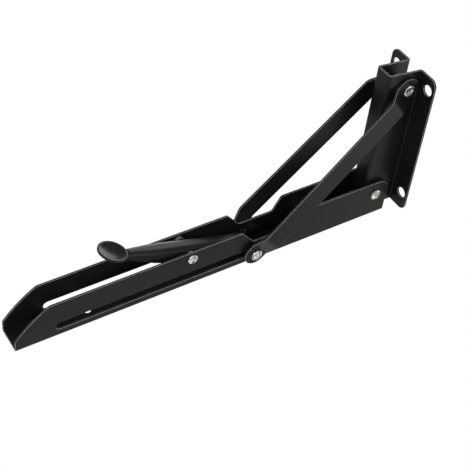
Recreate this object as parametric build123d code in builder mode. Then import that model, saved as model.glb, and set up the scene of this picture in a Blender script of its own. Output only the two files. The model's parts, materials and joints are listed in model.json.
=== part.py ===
"""Folding shelf bracket: a wall plate, a channel arm, two joggled struts and a sprung release lever.

Frame: +Z up, +X away from the wall, Y across the bracket. The origin is the centre of the four
wall screw holes, on the plane of the wall. The bracket is modelled open, with the shelf arm level.
All lengths are millimetres and all angles degrees.
"""
import math
import os

from build123d import *

# ---------------------------------------------------------------- driving dimensions
sheet = 1.5              # steel sheet of the plate, the arm and the struts
bend = 0.5               # inside radius of every fold

hole_rise = 95.0         # wall screw holes, centre to centre, up the wall
hole_span = 35.0         # wall screw holes, centre to centre, across the wall
wall_hole_d = 8.0
plate_width = 48.0       # over both flanges
plate_above = 14.0       # flange above the upper screw holes
plate_below = 10.5       # flange below the lower screw holes
plate_corner = 6.0       # corner radius of the flanges
hat_width = 14.6         # over the two side walls of the folded-out middle
hat_depth = 29.2         # from the wall to the front of the folded-out middle
hat_overhang = 3.0       # how far the front reaches below the flanges

arm_length = 300.0
arm_width = 21.2
arm_height = 31.6
shelf_rise = 67.5        # shelf face above the origin
nose_land = 9.5          # height of the flat end face at the free end
nose_reach = 25.0        # the sloping nose, measured along the arm
nose_bow = 90.0          # radius of the slightly bowed slope of the nose
nose_corner = 3.0        # rounding at both ends of that slope
heel_radius = 9.0        # round lower corner at the wall end
notch_corner = 2.5       # rounding of the notch in the walls

pivot_out = 21.2         # arm pivot from the wall
pivot_drop = 20.7        # arm pivot below the shelf face
pivot_inset = 11.5       # arm pivot from the arm's wall end
strut_pivot_out = 11.8   # strut pivot from the wall
strut_pivot_drop = 92.6  # strut pivot below the arm pivot
slot_drop = 9.6          # slot centreline below the shelf face
slide_open = 106.2       # sliding pin from the arm pivot, bracket open
slot_before = 9.2        # slot reaches this far past the open pin, towards the wall
slot_end_inset = 29.0    # slot's outer end from the free end of the arm
lever_pivot_x = 157.3    # lever pivot from the arm pivot, along the arm
lever_pivot_drop = 25.9  # lever pivot below the shelf face
notch_floor_drop = 19.6  # floor of the notch below the shelf face
notch_floor_width = 28.6  # notch floor, centred where the folded strut pivot stands
notch_run_in = 6.8       # sloped side of the notch nearer the wall, measured along the arm
notch_run_out = 10.2     # sloped side of the notch nearer the free end

shelf_hole_d = 5.0
shelf_holes = (45.3, 88.4, 231.9, 258.8)   # shelf screw holes, from the arm pivot

strut_width = 17.6
strut_flat = 4.9         # flat round each strut hole, measured towards the middle
joggle_run = 9.0         # length of each joggle along the strut
joggle_radius = 3.0      # radius of the joggle folds, on the centre of the sheet
bow_wall_end = 15.3      # outer face of the strut from the centre plane, past the wall joggle
bow_arm_end = 18.5       # outer face of the strut from the centre plane, past the arm joggle

pivot_d = 5.0            # shank of the arm pivot and of the strut pivot
slide_d = 6.5            # shank of the sliding pin
slide_end_d = 5.0        # turned-down ends of the sliding pin
lever_pin_d = 4.0        # shank of the lever pivot
head_d = 8.6             # rivet heads
lever_head_d = 7.4
low_head = 1.3           # height of the heads that the struts pass over
high_head = 1.8          # height of the heads outside the struts
head_edge = 0.35         # chamfer round each head

lever_sheet = 1.5
lever_width = 14.0
lever_tilt = 16.0        # slope of the lever's back, down towards the thumb pad
lever_back_gap = 5.4     # lever pivot to the outer face of the back
lever_flank_tilt = 25.6  # slope of the free edges near the pad
lever_back_round = 5.2   # rounding of the back, outside
neck_x = 200.8           # end of the trough, from the arm pivot
neck_width = 9.6
neck_round = 4.2         # rounding of the back at the neck, outside
neck_taper = 18.0        # length over which the trough narrows
neck_wall = 4.6          # height of the trough's walls at the neck
tongue_length = 10.8     # drawn-in end of the trough that runs into the pad
tongue_step = 0.5        # how far the tongue is drawn in all round
latch_gap = 0.85         # between the sliding pin and the lever's nose
pin_path_gap = 0.5       # between the sliding pin's path and the lever's free edges
pad_d = 21.0
pad_x = 213.0            # pad centre from the arm pivot
pad_drop = 49.7          # centre of the pad's rim below the shelf face
pad_tilt = 18.0
pad_dish = 2.6           # depth of the dish, which is open to the thumb
pad_lip = 1.6            # flat rim round the dish
lever_press = 13.0       # travel of the lever

wire = 1.0
coil_mean = 3.2          # mean radius of the spring's coil
spring_turns = 1         # whole turns of the coil
coil_pitch = 1.4
spring_leg = 13.0        # leg that lies in the lever's trough
leg_lap = 0.4            # how far each leg runs back into the piece of wire before it
spring_rise = 5.9        # leg that rises to the hole in the arm
spring_gap = 0.3         # round the leg in the lever, and past its travel in the arm

fit_gap = 0.05           # radial clearance of running pins
side_gap = 0.05          # clearance of washers and of flat faces that turn on each other
slot_gap = 0.1           # sliding pin to each edge of the slot
head_gap = 0.1           # between the sliding pin's washers and the struts
strut_washer = 0.55      # thickness, between plate and strut
slide_washer = 1.95      # thickness, between arm and strut
washer_d = 10.0
small_washer_d = 7.6
tube_wall = 1.2          # wall of the spacer tubes
bush_d = 5.2             # bush that carries the spring
bush_half = 4.2          # half of the bush's length

# ---------------------------------------------------------------- places worked out from them
plate_top = hole_rise / 2 + plate_above
plate_bottom = -hole_rise / 2 - plate_below
hat_half = hat_width / 2
arm_half = arm_width / 2
arm_inner = arm_half - sheet
arm_low = shelf_rise - arm_height
arm_back = pivot_out - pivot_inset
arm_front = arm_back + arm_length

pivot = (pivot_out, shelf_rise - pivot_drop)
strut_pivot = (strut_pivot_out, pivot[1] - strut_pivot_drop)
slide = (pivot_out + slide_open, shelf_rise - slot_drop)
lever_pivot = (pivot_out + lever_pivot_x, shelf_rise - lever_pivot_drop)

strut_length = math.hypot(slide[0] - strut_pivot[0], slide[1] - strut_pivot[1])
# With the arm folded down, the strut pivot stands in the arm's own frame at this distance along
# the arm and this far below the shelf face.
folded_pivot_x = pivot_out + strut_pivot_drop
folded_pivot_drop = pivot_drop + pivot_out - strut_pivot_out
slide_folded = folded_pivot_x + math.sqrt(strut_length**2 - (folded_pivot_drop - slot_drop)**2)

strut_seat_wall = hat_half + strut_washer + 2 * side_gap
strut_seat_arm = arm_half + side_gap + slide_washer + head_gap


def xz_plane(x, z):
    """Plane across the bracket at a pivot: its x is +X, its y is +Z, and it faces -Y."""
    return Plane(origin=(x, 0, z), x_dir=(1, 0, 0), z_dir=(0, -1, 0))


def folded_sheet(plane, points, inside_radius=bend):
    """Section of a sheet folded along its centreline; its two ends are trimmed later."""
    with BuildSketch(plane) as section:
        with BuildLine() as line:
            Polyline(*points)
            folds = [v for v in line.vertices() if (v.X, v.Y) not in (points[0], points[-1])]
            fillet(folds, inside_radius + sheet / 2)
            offset(amount=sheet / 2, side=Side.BOTH)
        make_face()
    return section.sketch


def rivet(x, z, shank, face, head, height):
    """A rivet across the bracket, with a head from each face outwards."""
    with BuildPart() as made:
        with BuildSketch(xz_plane(x, z)):
            Circle(shank / 2)
        extrude(amount=face, both=True)
        for side in (-1, 1):
            with BuildSketch(Plane(origin=(x, side * face, z), x_dir=(1, 0, 0), z_dir=(0, side, 0))):
                Circle(head / 2)
            extrude(amount=height)
            rim = made.faces().sort_by(Axis.Y)[-1 if side > 0 else 0].edges()
            chamfer(rim, head_edge)
    return made.part


def ring(x, z, inner, outer, near, far):
    """A washer or tube round a pivot, from near to far along Y."""
    with BuildPart() as made:
        with BuildSketch(Plane(origin=(x, near, z), x_dir=(1, 0, 0), z_dir=(0, 1, 0))):
            Circle(outer / 2)
            Circle(inner / 2, mode=Mode.SUBTRACT)
        extrude(amount=far - near)
    return made.part


def save(shape, label):
    """Name a finished piece and write its STEP file."""
    shape.label = label
    export_step(shape, f"parts/{label}.step")


os.makedirs("parts", exist_ok=True)

# ---------------------------------------------------------------- wall plate, one folded sheet
hat_mid = hat_half - sheet / 2
with BuildPart() as wall_plate:
    section = folded_sheet(Plane.XY.offset(plate_bottom - hat_overhang), [
        (sheet / 2, plate_width),
        (sheet / 2, hat_mid),
        (hat_depth - sheet / 2, hat_mid),
        (hat_depth - sheet / 2, -hat_mid),
        (sheet / 2, -hat_mid),
        (sheet / 2, -plate_width),
    ])
    extrude(section, amount=plate_top - plate_bottom + hat_overhang)
    with BuildSketch(Plane.XZ):
        with BuildLine():
            Polyline(
                (0, plate_top),
                (hat_depth, plate_top),
                (hat_depth, plate_bottom - hat_overhang),
                (sheet + bend, plate_bottom),
                (0, plate_bottom),
                close=True,
            )
        make_face()
    extrude(amount=plate_width / 2, both=True, mode=Mode.INTERSECT)
    flange_corners = [
        e for e in wall_plate.edges().filter_by(Axis.X)
        if abs(abs(e.center().Y) - plate_width / 2) < 0.01 and abs(e.length - sheet) < 0.01
    ]
    fillet(flange_corners, plate_corner)
    with BuildSketch(Plane.YZ):
        with GridLocations(hole_span, hole_rise, 2, 2):
            Circle(wall_hole_d / 2)
    extrude(amount=sheet, mode=Mode.SUBTRACT)
    for place in (pivot, strut_pivot):
        with BuildSketch(xz_plane(*place)):
            Circle(pivot_d / 2)
        extrude(amount=hat_half, both=True, mode=Mode.SUBTRACT)
save(wall_plate.part, "wall_plate")

# ---------------------------------------------------------------- shelf arm, one folded channel
slot_start = slide[0] - slot_before
slot_width = slide_d + 2 * slot_gap
slot_stop = arm_front - slot_end_inset
notch_floor = shelf_rise - notch_floor_drop
notch_in = folded_pivot_x - notch_floor_width / 2
notch_out = folded_pivot_x + notch_floor_width / 2
press = math.radians(lever_press)
# The spring's fixed leg, measured from the lever pivot, halfway through its small travel.
leg_x, leg_z = -coil_mean, spring_rise
leg_pressed_x = leg_x * math.cos(press) - leg_z * math.sin(press)
leg_pressed_z = leg_x * math.sin(press) + leg_z * math.cos(press)
leg_travel = math.hypot(leg_pressed_x - leg_x, leg_pressed_z - leg_z)

with BuildPart() as shelf_arm:
    section = folded_sheet(Plane.YZ.offset(arm_back), [
        (-arm_half + sheet / 2, arm_low - sheet),
        (-arm_half + sheet / 2, shelf_rise - sheet / 2),
        (arm_half - sheet / 2, shelf_rise - sheet / 2),
        (arm_half - sheet / 2, arm_low - sheet),
    ])
    extrude(section, amount=arm_length)
    with BuildSketch(Plane.XZ) as outline:
        with BuildLine():
            lip = (arm_front, shelf_rise - nose_land)
            chin = (arm_front - nose_reach, arm_low)
            Polyline((arm_back, shelf_rise), (arm_front, shelf_rise), lip)
            RadiusArc(lip, chin, nose_bow)
            Polyline(
                chin,
                (notch_out + notch_run_out, arm_low),
                (notch_out, notch_floor),
                (notch_in, notch_floor),
                (notch_in - notch_run_in, arm_low),
                (arm_back + heel_radius, arm_low),
            )
            RadiusArc((arm_back + heel_radius, arm_low), (arm_back, arm_low + heel_radius), heel_radius)
            Line((arm_back, arm_low + heel_radius), (arm_back, shelf_rise))
        make_face()
        points = outline.vertices()
        fillet([v for v in points if notch_in - notch_run_in - 1 < v.X < notch_out + notch_run_out + 1],
               notch_corner)
        fillet([v for v in points if v.X > chin[0] - 1 and v.Z < shelf_rise - 1], nose_corner)
    extrude(amount=arm_width, both=True, mode=Mode.INTERSECT)
    with BuildSketch(xz_plane((slot_start + slot_stop) / 2, slide[1])):
        SlotOverall(slot_stop - slot_start, slot_width)
    extrude(amount=arm_width, both=True, mode=Mode.SUBTRACT)
    with BuildSketch(xz_plane(*pivot)):
        Circle(pivot_d / 2 + fit_gap)
    extrude(amount=arm_width, both=True, mode=Mode.SUBTRACT)
    with BuildSketch(xz_plane(*lever_pivot)):
        Circle(lever_pin_d / 2)
    extrude(amount=arm_width, both=True, mode=Mode.SUBTRACT)
    with BuildSketch(Plane.XY.offset(shelf_rise)):
        with Locations(*[(pivot_out + x, 0) for x in shelf_holes]):
            Circle(shelf_hole_d / 2)
    extrude(amount=-sheet, mode=Mode.SUBTRACT)
    anchor_x = lever_pivot[0] + (leg_x + leg_pressed_x) / 2
    anchor_z = lever_pivot[1] + (leg_z + leg_pressed_z) / 2
    with BuildSketch(Plane(origin=(anchor_x, arm_inner, anchor_z), x_dir=(1, 0, 0), z_dir=(0, 1, 0))):
        Circle(wire / 2 + leg_travel / 2 + spring_gap)
    extrude(amount=sheet, mode=Mode.SUBTRACT)
save(shelf_arm.part, "shelf_arm")

# ---------------------------------------------------------------- struts, joggled flat bars
along = ((slide[0] - strut_pivot[0]) / strut_length, (slide[1] - strut_pivot[1]) / strut_length)
middle = ((slide[0] + strut_pivot[0]) / 2, (slide[1] + strut_pivot[1]) / 2)
for label, side in (("strut_left", -1), ("strut_right", 1)):
    run = Plane(
        origin=(strut_pivot[0], 0, strut_pivot[1]),
        x_dir=(along[0], 0, along[1]),
        z_dir=(-side * along[1], 0, side * along[0]),
    )
    face_on = Plane(origin=(middle[0], 0, middle[1]), x_dir=(along[0], 0, along[1]), z_dir=(0, side, 0))
    with BuildPart() as strut:
        section = folded_sheet(
            run,
            [
                (-strut_width, strut_seat_wall + sheet / 2),
                (strut_flat, strut_seat_wall + sheet / 2),
                (strut_flat + joggle_run, bow_wall_end - sheet / 2),
                (strut_length - strut_flat - joggle_run, bow_arm_end - sheet / 2),
                (strut_length - strut_flat, strut_seat_arm + sheet / 2),
                (strut_length + strut_width, strut_seat_arm + sheet / 2),
            ],
            joggle_radius,
        )
        extrude(section, amount=strut_width, both=True)
        with BuildSketch(face_on):
            SlotCenterToCenter(strut_length, strut_width)
        extrude(amount=bow_arm_end + sheet, mode=Mode.INTERSECT)
        with BuildSketch(xz_plane(*strut_pivot)):
            Circle(pivot_d / 2 + fit_gap)
        with BuildSketch(xz_plane(*slide)):
            Circle(slide_end_d / 2)
        extrude(amount=bow_arm_end, both=True, mode=Mode.SUBTRACT)
    save(strut.part, label)

# ---------------------------------------------------------------- release lever with its thumb pad
tilt = math.radians(lever_tilt)
nose_x = slide[0] + slide_d / 2 + latch_gap
path_low = slide[1] - slide_d / 2 - pin_path_gap
neck = pivot_out + neck_x


def lever_back(x):
    """Height of the back's outer face at a distance from the wall."""
    return lever_pivot[1] - lever_back_gap / math.cos(tilt) - (x - lever_pivot[0]) * math.tan(tilt)


def lever_plane(x):
    """Plane square to the lever's back at a distance from the wall: its y stands off the back."""
    return Plane(
        origin=(x, 0, lever_back(x)), x_dir=(0, 1, 0), z_dir=(math.cos(tilt), 0, -math.sin(tilt))
    )


def back_section(x, width, rounding, inset):
    """Round-backed section of the lever, drawn in from its outer face by inset."""
    with BuildSketch(lever_plane(x)) as section:
        with Locations((0, inset)):
            Rectangle(width - 2 * inset, arm_height, align=(Align.CENTER, Align.MIN))
        fillet(section.vertices().group_by(Axis.Y)[0], rounding - inset)
    return section.sketch


def trough(inset):
    """Body of the lever with its narrowed end, drawn in from its outer face by inset."""
    with BuildPart() as made:
        wide = back_section(neck - neck_taper, lever_width, lever_back_round, inset)
        extrude(wide, amount=-(neck - neck_taper - nose_x) / math.cos(tilt) - arm_height)
        loft([wide, back_section(neck, neck_width, neck_round, inset)])
    return made.part


def tongue(inset):
    """Drawn-in end that runs from the narrow end of the body into the pad."""
    with BuildPart() as made:
        extrude(back_section(neck, neck_width, neck_round, inset), amount=tongue_length)
    return made.part


flank_run = (path_low - lever_back(neck) - neck_wall) / math.tan(math.radians(lever_flank_tilt))
pad_angle = math.radians(pad_tilt)
pad_plane = Plane(
    origin=(pivot_out + pad_x, 0, shelf_rise - pad_drop),
    x_dir=(math.cos(pad_angle), 0, -math.sin(pad_angle)),
    z_dir=(0, -1, 0),
)
pad_radius = pad_d / 2
dish_radius = pad_radius - pad_lip
with BuildPart() as release_lever:
    add(trough(0))
    add(tongue(tongue_step))
    add(trough(lever_sheet), mode=Mode.SUBTRACT)
    add(tongue(tongue_step + lever_sheet), mode=Mode.SUBTRACT)
    with BuildSketch(Plane.XZ):
        with BuildLine():
            Polyline(
                (nose_x, path_low),
                (neck - flank_run, path_low),
                (neck, lever_back(neck) + neck_wall),
                (neck + tongue_length, lever_back(neck + tongue_length) + lever_sheet),
                (neck + tongue_length, lever_back(neck + tongue_length) - 1),
                (nose_x, lever_back(nose_x) - 1),
                close=True,
            )
        make_face()
    extrude(amount=lever_width, both=True, mode=Mode.INTERSECT)
    with BuildSketch(pad_plane):
        with BuildLine():
            dish_ball = (dish_radius**2 + pad_dish**2) / (2 * pad_dish)
            back_ball = dish_ball + lever_sheet
            back_radius = math.sqrt(back_ball**2 - (dish_ball - pad_dish + lever_sheet)**2)
            RadiusArc((0, pad_dish), (dish_radius, 0), dish_ball)
            Polyline(
                (dish_radius, 0),
                (pad_radius, 0),
                (pad_radius, lever_sheet),
                (back_radius, lever_sheet),
            )
            RadiusArc((back_radius, lever_sheet), (0, pad_dish + lever_sheet), -back_ball)
            Line((0, pad_dish + lever_sheet), (0, pad_dish))
        make_face()
    revolve(axis=Axis(pad_plane.origin, pad_plane.y_dir))
    with BuildSketch(xz_plane(*lever_pivot)):
        Circle(lever_pin_d / 2 + fit_gap)
    extrude(amount=lever_width, both=True, mode=Mode.SUBTRACT)
    leg_hole = (lever_pivot[0] + leg_x, 0, lever_pivot[1] + leg_z)
    with BuildSketch(Plane(origin=leg_hole, x_dir=(1, 0, 0), z_dir=(0, 1, 0))):
        Circle(wire / 2 + spring_gap)
    extrude(amount=lever_width, mode=Mode.SUBTRACT)
save(release_lever.part, "release_lever")

# ---------------------------------------------------------------- return spring of the lever
coil_turns = spring_turns + (90 - lever_tilt) / 360
coil_length = coil_turns * coil_pitch
coil_plane = Plane(
    origin=(lever_pivot[0], -coil_length / 2, lever_pivot[1]),
    x_dir=(-math.sin(tilt), 0, -math.cos(tilt)),
    z_dir=(0, 1, 0),
)
winding = coil_plane.location * Helix(coil_pitch, coil_length, coil_mean)
coil_start = winding @ 0
coil_end = winding @ 1
with BuildPart() as lever_spring:
    with BuildLine():
        add(winding)
    with BuildSketch(Plane(origin=coil_start, z_dir=winding % 0)):
        Circle(wire / 2)
    sweep(is_frenet=True)
    for root, way, length in (
        (coil_start, winding % 0 * -1, spring_leg),
        (coil_end, Vector(0, 0, 1), spring_rise),
        (Vector(coil_end.X, coil_end.Y, coil_end.Z + spring_rise), Vector(0, 1, 0), arm_half - coil_end.Y),
    ):
        with BuildSketch(Plane(origin=root - way * leg_lap, z_dir=way)):
            Circle(wire / 2)
        extrude(amount=length + leg_lap)
save(lever_spring.part, "lever_spring")

# ---------------------------------------------------------------- rivets, pins, tubes and washers
save(rivet(*pivot, pivot_d, arm_half + side_gap, head_d, low_head), "pivot_rivet")
save(rivet(*strut_pivot, pivot_d, strut_seat_wall + sheet + side_gap, head_d, high_head), "strut_rivet")
save(rivet(*lever_pivot, lever_pin_d, arm_half, lever_head_d, low_head), "lever_rivet")

with BuildPart() as slide_pin:
    with BuildSketch(xz_plane(*slide)):
        Circle(slide_d / 2)
    extrude(amount=strut_seat_arm - head_gap, both=True)
save(slide_pin.part, "slide_pin")

tube_half = hat_half - sheet
save(ring(*pivot, pivot_d, pivot_d + 2 * tube_wall, -tube_half, tube_half), "pivot_spacer")
save(ring(*strut_pivot, pivot_d, pivot_d + 2 * tube_wall, -tube_half, tube_half), "strut_spacer")
save(ring(*lever_pivot, lever_pin_d, bush_d, -bush_half, bush_half), "lever_bush")

for name, side in (("left", -1), ("right", 1)):
    washers = (
        ("pivot_washer", pivot, pivot_d, washer_d, hat_half, arm_inner - side_gap),
        ("strut_washer", strut_pivot, pivot_d, washer_d, hat_half, hat_half + strut_washer),
        ("slide_washer", slide, slide_d, washer_d, arm_half + side_gap, strut_seat_arm - head_gap),
        ("lever_washer", lever_pivot, lever_pin_d, small_washer_d,
         lever_width / 2 + side_gap, arm_inner),
    )
    for label, place, inner, outer, near, far in washers:
        low, high = sorted((side * near, side * far))
        save(ring(*place, inner, outer, low, high), f"{label}_{name}")
    face = strut_seat_arm + sheet
    with BuildPart() as slide_head:
        with BuildSketch(Plane(origin=(slide[0], side * strut_seat_arm, slide[1]), z_dir=(0, side, 0))):
            Circle(slide_end_d / 2)
        extrude(amount=sheet)
        with BuildSketch(Plane(origin=(slide[0], side * face, slide[1]), z_dir=(0, side, 0))):
            Circle(head_d / 2)
        extrude(amount=high_head)
        chamfer(slide_head.faces().sort_by(Axis.Y)[-1 if side > 0 else 0].edges(), head_edge)
    save(slide_head.part, f"slide_head_{name}")
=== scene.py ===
"""Folding shelf bracket: coated sheet, formed rivets, the lever's spring and a plain studio.

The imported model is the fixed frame. Every length is in metres, in that frame: +X away from the wall,
+Y across the bracket, +Z up.
"""
import json
import math

import bmesh
import bpy
from mathutils import Matrix, Vector


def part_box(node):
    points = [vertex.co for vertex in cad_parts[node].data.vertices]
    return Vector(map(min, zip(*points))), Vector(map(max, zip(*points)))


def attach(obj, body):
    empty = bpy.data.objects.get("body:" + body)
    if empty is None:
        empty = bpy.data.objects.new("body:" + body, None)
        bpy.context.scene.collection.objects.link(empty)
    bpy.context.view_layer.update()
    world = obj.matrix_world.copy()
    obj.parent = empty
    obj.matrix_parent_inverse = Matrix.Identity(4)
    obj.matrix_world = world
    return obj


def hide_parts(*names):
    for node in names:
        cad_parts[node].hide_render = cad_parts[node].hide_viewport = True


bl_info = {
    "name": "Folding shelf bracket",
    "version": (1, 0, 0),
    "blender": (4, 5, 0),
    "location": "3D View > Sidebar > Bracket",
    "description": "Dresses the packed folding shelf bracket and sets up its studio",
    "category": "Object",
}

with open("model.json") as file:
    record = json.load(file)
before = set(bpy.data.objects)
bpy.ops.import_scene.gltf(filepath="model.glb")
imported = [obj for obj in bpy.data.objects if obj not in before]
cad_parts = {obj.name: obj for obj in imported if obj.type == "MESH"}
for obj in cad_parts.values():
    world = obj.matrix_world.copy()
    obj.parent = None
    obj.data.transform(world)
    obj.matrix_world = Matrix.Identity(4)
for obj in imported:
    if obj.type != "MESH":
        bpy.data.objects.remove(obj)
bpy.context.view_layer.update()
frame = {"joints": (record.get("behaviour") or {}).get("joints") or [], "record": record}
MM = 0.001
BODY_OF = {n: body for body, names in frame["record"]["behaviour"]["bodies"].items() for n in names}


def box_of(source):
    """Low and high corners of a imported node's box."""
    low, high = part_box(source)
    return Vector(low), Vector(high)


def middle_of(source):
    """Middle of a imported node's box."""
    low, high = box_of(source)
    return (low + high) / 2


PIVOT, STRUT_PIVOT = middle_of("pivot_rivet"), middle_of("strut_rivet")
SLIDE, LEVER_PIVOT = middle_of("slide_pin"), middle_of("lever_rivet")
SHELF_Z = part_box("shelf_arm")[1][2]

ZINC_NODES = (
    "pivot_spacer", "strut_spacer", "lever_bush",
    "pivot_washer_left", "pivot_washer_right", "strut_washer_left", "strut_washer_right",
    "lever_washer_left", "lever_washer_right", "slide_washer_left", "slide_washer_right",
)


# ---------------------------------------------------------------- colours and materials
def linear(hex_colour):
    """An sRGB hex colour as linear RGBA."""
    channels = [int(hex_colour.lstrip("#")[i:i + 2], 16) / 255 for i in (0, 2, 4)]
    return [c / 12.92 if c <= 0.04045 else ((c + 0.055) / 1.055) ** 2.4 for c in channels] + [1.0]


def node(material, kind, inputs=None, **settings):
    """Adds one shader node with its settings, its constant inputs and its links."""
    made = material.node_tree.nodes.new(kind)
    for name, value in settings.items():
        setattr(made, name, value)
    for name, value in (inputs or {}).items():
        if isinstance(value, bpy.types.NodeSocket):
            material.node_tree.links.new(value, made.inputs[name])
        else:
            made.inputs[name].default_value = value
    return made


def new_material(name):
    """An empty node material."""
    material = bpy.data.materials.new(name)
    material.use_nodes = True
    material.node_tree.nodes.clear()
    return material


def close_material(material, shader):
    """Joins the surface shader to the material's output."""
    output = node(material, "ShaderNodeOutputMaterial")
    material.node_tree.links.new(shader.outputs["BSDF"], output.inputs["Surface"])
    return material


def mottle(material, size, detail):
    """Noise of a real size, laid in the piece's own space."""
    place = node(material, "ShaderNodeTexCoord").outputs["Object"]
    noise = node(material, "ShaderNodeTexNoise", {"Vector": place, "Scale": 1 / size, "Detail": detail})
    return noise.outputs["Fac"]


def set_ramp(tone, start, low, end, high):
    """Runs a colour ramp from one tone to another."""
    for element, position, colour in zip(tone.color_ramp.elements, (start, end), (low, high)):
        element.position = position
        element.color = linear(colour)


def powder_coat(name, low, high, thin, roughness, specular):
    """Satin black polyester powder coat, baked on steel: very dark, with a soft even sheen.

    The melted powder leaves a faint orange peel about 0.9 mm across and a cloudy tone a few
    centimetres wide. Along the rounded edges a grey painted highlight stands in for lit edges.
    """
    material = new_material(name)
    cloud = mottle(material, 35 * MM, 3.0)
    tone = node(material, "ShaderNodeValToRGB", {"Fac": cloud})
    set_ramp(tone, 0.3, low, 0.7, high)
    peel = mottle(material, 0.9 * MM, 2.0)
    bump = node(material, "ShaderNodeBump", {
        "Height": peel, "Strength": 0.12, "Distance": 0.05 * MM})
    sheen = node(material, "ShaderNodeMapRange", {
        "Value": cloud, "To Min": roughness - 0.03, "To Max": roughness + 0.04})
    # Painted highlight: a grey tone along the rounded sheet edges, broken up by the peel, in place of
    # lit edges.
    drawn = node(material, "ShaderNodeAttribute", attribute_name="painted_edge_highlight")
    painted_highlight_mask = node(material, "ShaderNodeMath", {0: drawn.outputs["Fac"], 1: peel}, operation="MULTIPLY")
    colour = node(material, "ShaderNodeMixRGB", {
        "Fac": painted_highlight_mask.outputs["Value"], "Color1": tone.outputs["Color"], "Color2": linear(thin),
    })
    shader = node(material, "ShaderNodeBsdfPrincipled", {
        "Base Color": colour.outputs["Color"],
        "Roughness": sheen.outputs["Result"],
        "Specular IOR Level": specular,
        "Normal": bump.outputs["Normal"],
    })
    return close_material(material, shader)


def plated_steel(name, low, high, roughness, grain, soft=0.15):
    """Plated or bare steel: bright metal, mottled by pressing and tumbling at a real grain size. A
    steep ramp, as on the rivets, also paints dark reflection into the mottle.
    """
    material = new_material(name)
    grains = mottle(material, grain, 4.0)
    tone = node(material, "ShaderNodeValToRGB", {"Fac": grains})
    set_ramp(tone, 0.5 - soft, low, 0.5 + soft, high)
    bump = node(material, "ShaderNodeBump", {
        "Height": grains, "Strength": 0.25, "Distance": 0.04 * MM})
    rough = node(material, "ShaderNodeMapRange", {
        "Value": grains, "To Min": roughness + 0.08, "To Max": roughness - 0.06})
    shader = node(material, "ShaderNodeBsdfPrincipled", {
        "Base Color": tone.outputs["Color"],
        "Metallic": 1.0,
        "Roughness": rough.outputs["Result"],
        "Normal": bump.outputs["Normal"],
    })
    return close_material(material, shader)


FINISHES = {}


def finish_of(name):
    """The material of a finish, made once."""
    if name not in FINISHES:
        coat = bpy.context.scene.bracket_coat
        metal = bpy.context.scene.bracket_metal
        makers = {
            "satin_black_coat": lambda: powder_coat(
                "satin_black_coat", coat.dark, coat.light, coat.thin, coat.roughness, coat.gloss),
            # Rivets: a steep, fine mottle whose dark patches are partly plating tone and partly painted
            # dark reflection on the heads.
            "nickel_plated_rivet": lambda: plated_steel(
                "nickel_plated_rivet", metal.rivet_dark, metal.rivet_light, metal.rivet_roughness,
                2.2 * MM, 0.06),
            "dull_zinc_plate": lambda: plated_steel(
                "dull_zinc_plate", metal.zinc_dark, metal.zinc_light, 0.5, 1.2 * MM),
            "blackened_pin": lambda: plated_steel(
                "blackened_pin", metal.pin_dark, metal.pin_light, 0.45, 0.8 * MM),
            "drawn_spring_wire": lambda: plated_steel(
                "drawn_spring_wire", metal.wire_dark, metal.wire_light, 0.35, 0.5 * MM),
        }
        FINISHES[name] = makers[name]()
    return FINISHES[name]


# ---------------------------------------------------------------- forming
def folded_line(points, radius):
    """The middle line of a folded sheet: its straight runs and its folds, one after the other.

    Each run holds where it starts along the line, its first point, its heading, its curvature and
    its length.
    """
    runs = []
    start = 0.0
    (x, y), headings = points[0], [
        math.atan2(b[1] - a[1], b[0] - a[0]) for a, b in zip(points, points[1:])]
    for corner, heading, after in zip(points[1:], headings, headings[1:] + [None]):
        turn = 0.0 if after is None else math.remainder(after - heading, 2 * math.pi)
        trim = radius * math.tan(abs(turn) / 2)
        straight = math.hypot(corner[0] - x, corner[1] - y) - trim
        runs.append((start, x, y, heading, 0.0, straight))
        start += straight
        if after is not None:
            fold = (corner[0] - trim * math.cos(heading), corner[1] - trim * math.sin(heading))
            runs.append((start, *fold, heading, math.copysign(1 / radius, turn), radius * abs(turn)))
            start += radius * abs(turn)
            x, y = corner[0] + trim * math.cos(after), corner[1] + trim * math.sin(after)
    return runs, start


def on_line(runs, distance, off):
    """The point at a distance along a folded line and so far off it to the left."""
    start, x, y, heading, curve, _ = next(
        (run for run in reversed(runs) if run[0] <= distance), runs[0])
    along = distance - start
    turn = along * curve
    ahead, aside = (along, 0.0) if not curve else (math.sin(turn) / curve, (1 - math.cos(turn)) / curve)
    x += ahead * math.cos(heading) - aside * math.sin(heading)
    y += ahead * math.sin(heading) + aside * math.cos(heading)
    return x - off * math.sin(heading + turn), y + off * math.cos(heading + turn)


def fold_stations(runs, cuts=6):
    """Distances along a folded line at which its folds start, bend and end."""
    return [
        run[0] + run[5] * cut / cuts for run in runs if run[4] for cut in range(cuts + 1)]


def faces_in(parts):
    """The faces among the parts that an operator made."""
    return [part for part in parts if isinstance(part, bmesh.types.BMFace)]


def verts_in(parts):
    """The vertices among the parts that an operator made."""
    return [part for part in parts if isinstance(part, bmesh.types.BMVert)]


def flat_blank():
    """An empty flat sheet, whose vertices keep how their edge is drawn in, their normal and where the
    painted edge highlight goes."""
    shape = bmesh.new()
    shape.verts.layers.float_vector.new("inset")
    shape.verts.layers.float_vector.new("lean")
    shape.verts.layers.float.new("painted_edge_highlight")
    return shape


def cut_outline(shape, corners):
    """Draws the outline of a flat sheet from corners: along, across and rounding."""
    verts = [shape.verts.new((along, across, 0)) for along, across, _ in corners]
    shape.faces.new(verts)
    for vert, (_, _, radius) in zip(verts, corners):
        if radius:
            ends = [edge.other_vert(vert).co - vert.co for edge in vert.link_edges]
            turn = math.pi - ends[0].angle(ends[1])
            bmesh.ops.bevel(
                shape, geom=[vert], affect="VERTICES", offset=radius * math.tan(turn / 2),
                segments=max(2, round(math.degrees(turn) / 9)), profile=0.5, material=-1,
            )
    bmesh.ops.delete(shape, geom=shape.faces[:], context="FACES_ONLY")


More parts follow.
